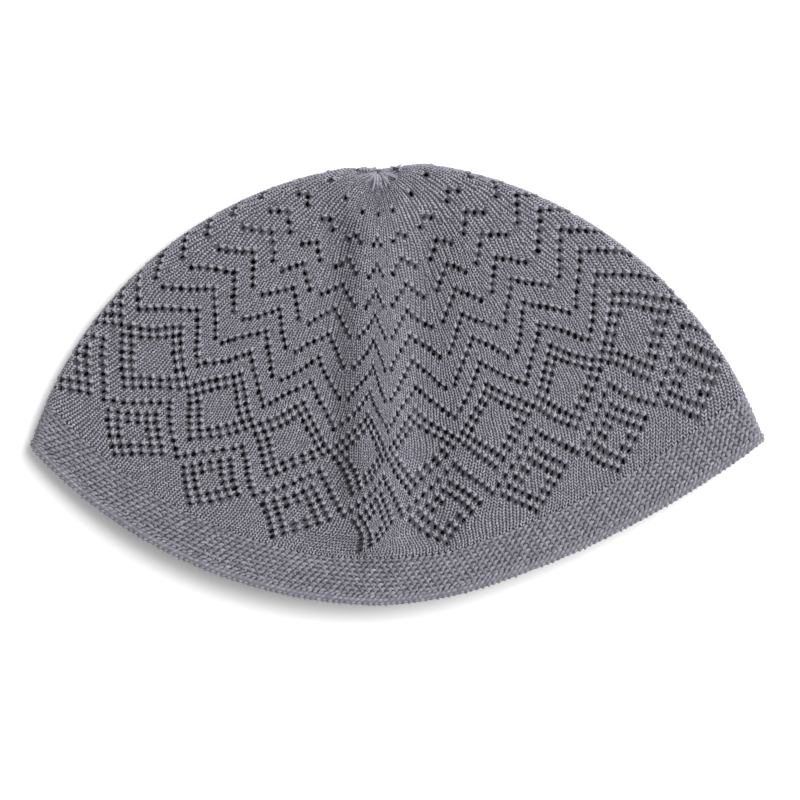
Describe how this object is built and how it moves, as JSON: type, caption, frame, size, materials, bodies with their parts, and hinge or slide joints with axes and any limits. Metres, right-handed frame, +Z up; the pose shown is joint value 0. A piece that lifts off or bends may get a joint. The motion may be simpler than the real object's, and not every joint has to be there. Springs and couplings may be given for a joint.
{
  "type": "knitted lace kufi cap",
  "caption": "Soft knitted lace kufi with a gathered top, a standing centre fold, a textured band and a rolled rim, lying flat on its back.",
  "frame": {"origin": "middle of the base of the cap's box, on the surface that the back layer lies on", "axes": "+X across the folded rim from corner to corner, +Y from the rim to the gathered top, +Z up from the surface through both layers"},
  "size_m": [0.24, 0.1438, 0.0226],
  "materials": {
    "lace_knit": "fine grey cotton stockinette with rows of lace holes",
    "band_knit": "grey cotton moss stitch, thicker than the lace",
    "cast_off_edge": "smooth rolled cast-off edge of the same yarn"
  },
  "bodies": {
    "root": {"crown": "lace_knit", "band": "band_knit", "rim_edge": "cast_off_edge"}
  },
  "joints": []
}
